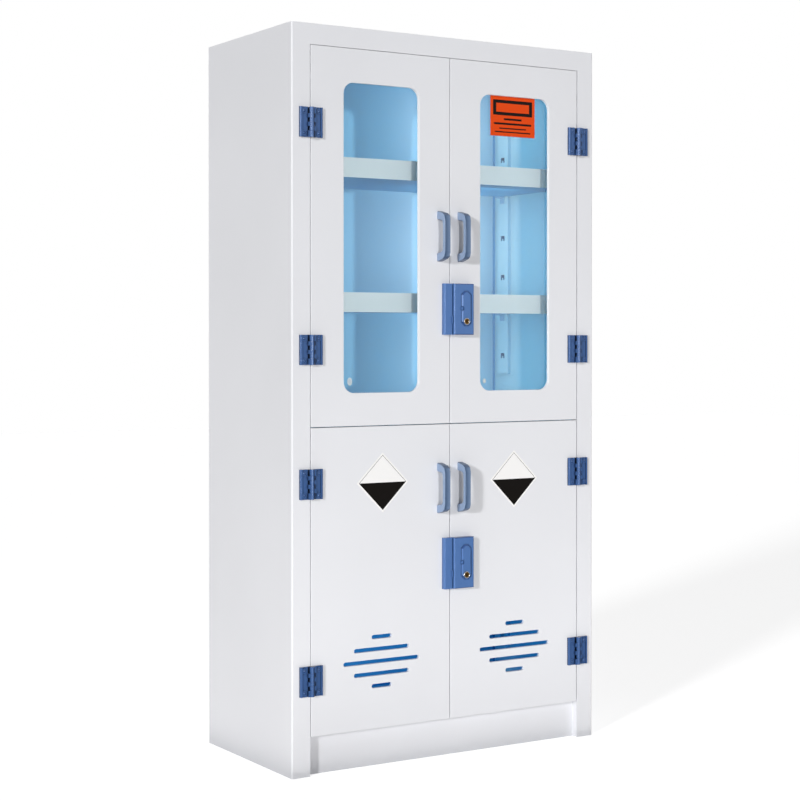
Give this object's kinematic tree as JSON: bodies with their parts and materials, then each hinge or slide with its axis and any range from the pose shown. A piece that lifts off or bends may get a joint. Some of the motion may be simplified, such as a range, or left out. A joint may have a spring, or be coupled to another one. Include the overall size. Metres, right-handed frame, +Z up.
{
  "type": "reagent cabinet",
  "caption": "Free-standing white polypropylene reagent cabinet with windowed doors over vented doors, spill tray shelves, and blue hinges, handles and locks.",
  "frame": {"origin": "on the floor at the centre of the bounding box, which runs from the handles' grips to the back panel", "axes": "+Z up, +X to the right as seen from the front, front towards -Y"},
  "size_m": [0.9, 0.488, 1.8],
  "materials": {
    "white_polypropylene": "satin, extruded sheet",
    "clear_pane": "clear",
    "blue_handle": "moulded, satin",
    "blue_hinge": "moulded, satin",
    "blue_lock": "moulded, satin",
    "brass": "turned",
    "steel": "plain"
  },
  "bodies": {
    "carcass": {"left_side_panel": "white_polypropylene", "right_side_panel": "white_polypropylene", "left_front_stile": "white_polypropylene", "right_front_stile": "white_polypropylene", "top_panel": "white_polypropylene", "top_front_rail": "white_polypropylene", "back_panel": "white_polypropylene", "bottom_panel": "white_polypropylene", "middle_deck": "white_polypropylene", "front_plinth": "white_polypropylene", "rear_plinth": "white_polypropylene", "upper_shelf_rails": "white_polypropylene", "lower_shelf_rails": "white_polypropylene", "upper_tray_clips": "white_polypropylene", "middle_tray_clips": "white_polypropylene", "lower_tray_clips": "white_polypropylene", "upper_left_hinge_frame_leaves": "blue_hinge", "upper_right_hinge_frame_leaves": "blue_hinge", "lower_left_hinge_frame_leaves": "blue_hinge", "lower_right_hinge_frame_leaves": "blue_hinge", "hinge_pins": "steel", "hinge_frame_screws": "steel"},
    "upper_left_door": {"upper_left_door_sheet": "white_polypropylene", "upper_left_door_edge_strips": "white_polypropylene", "upper_left_handle": "blue_handle", "upper_left_door_screws": "steel", "upper_left_hinge_door_leaves": "blue_hinge", "upper_left_window_pane": "clear_pane", "upper_left_window_bead": "white_polypropylene", "upper_lock_keeper": "blue_lock"},
    "upper_right_door": {"upper_right_door_sheet": "white_polypropylene", "upper_right_door_edge_strips": "white_polypropylene", "upper_right_handle": "blue_handle", "upper_right_door_screws": "steel", "upper_right_hinge_door_leaves": "blue_hinge", "upper_right_window_pane": "clear_pane", "upper_right_window_bead": "white_polypropylene", "upper_lock_case": "blue_lock", "upper_lock_barrel": "brass"},
    "upper_lock": {"upper_lock_plug": "brass", "upper_lock_tongue": "steel"},
    "lower_left_door": {"lower_left_door_sheet": "white_polypropylene", "lower_left_door_edge_strips": "white_polypropylene", "lower_left_handle": "blue_handle", "lower_left_door_screws": "steel", "lower_left_hinge_door_leaves": "blue_hinge", "lower_lock_keeper": "blue_lock"},
    "lower_right_door": {"lower_right_door_sheet": "white_polypropylene", "lower_right_door_edge_strips": "white_polypropylene", "lower_right_handle": "blue_handle", "lower_right_door_screws": "steel", "lower_right_hinge_door_leaves": "blue_hinge", "lower_lock_case": "blue_lock", "lower_lock_barrel": "brass"},
    "lower_lock": {"lower_lock_plug": "brass", "lower_lock_tongue": "steel"},
    "upper_tray": {"upper_tray": "white_polypropylene"},
    "middle_tray": {"middle_tray": "white_polypropylene"},
    "lower_tray": {"lower_tray": "white_polypropylene"}
  },
  "joints": [
    {"name": "upper_left_door_hinge", "type": "hinge", "parent": "carcass", "child": "upper_left_door", "pos_m": [-0.399, -0.213, 1], "axis": [0, 0, -1], "range_deg": [0, 170]},
    {"name": "upper_right_door_hinge", "type": "hinge", "parent": "carcass", "child": "upper_right_door", "pos_m": [0.399, -0.213, 1], "axis": [0, 0, 1], "range_deg": [0, 170]},
    {"name": "lower_left_door_hinge", "type": "hinge", "parent": "carcass", "child": "lower_left_door", "pos_m": [-0.399, -0.213, 0], "axis": [0, 0, -1], "range_deg": [0, 170]},
    {"name": "lower_right_door_hinge", "type": "hinge", "parent": "carcass", "child": "lower_right_door", "pos_m": [0.399, -0.213, 0], "axis": [0, 0, 1], "range_deg": [0, 170]},
    {"name": "upper_lock_turn", "type": "hinge", "parent": "upper_right_door", "child": "upper_lock", "pos_m": [0.036, -0.214, 1.091], "axis": [0, -1, 0], "range_deg": [0, 90]},
    {"name": "lower_lock_turn", "type": "hinge", "parent": "lower_right_door", "child": "lower_lock", "pos_m": [0.036, -0.214, 0.4555], "axis": [0, -1, 0], "range_deg": [0, 90]},
    {"name": "upper_tray_lift", "type": "slide", "parent": "carcass", "child": "upper_tray", "axis": [0, 0, 1], "range_m": [0, 0.05]},
    {"name": "middle_tray_lift", "type": "slide", "parent": "carcass", "child": "middle_tray", "axis": [0, 0, 1], "range_m": [0, 0.05]},
    {"name": "lower_tray_lift", "type": "slide", "parent": "carcass", "child": "lower_tray", "axis": [0, 0, 1], "range_m": [0, 0.05]}
  ]
}
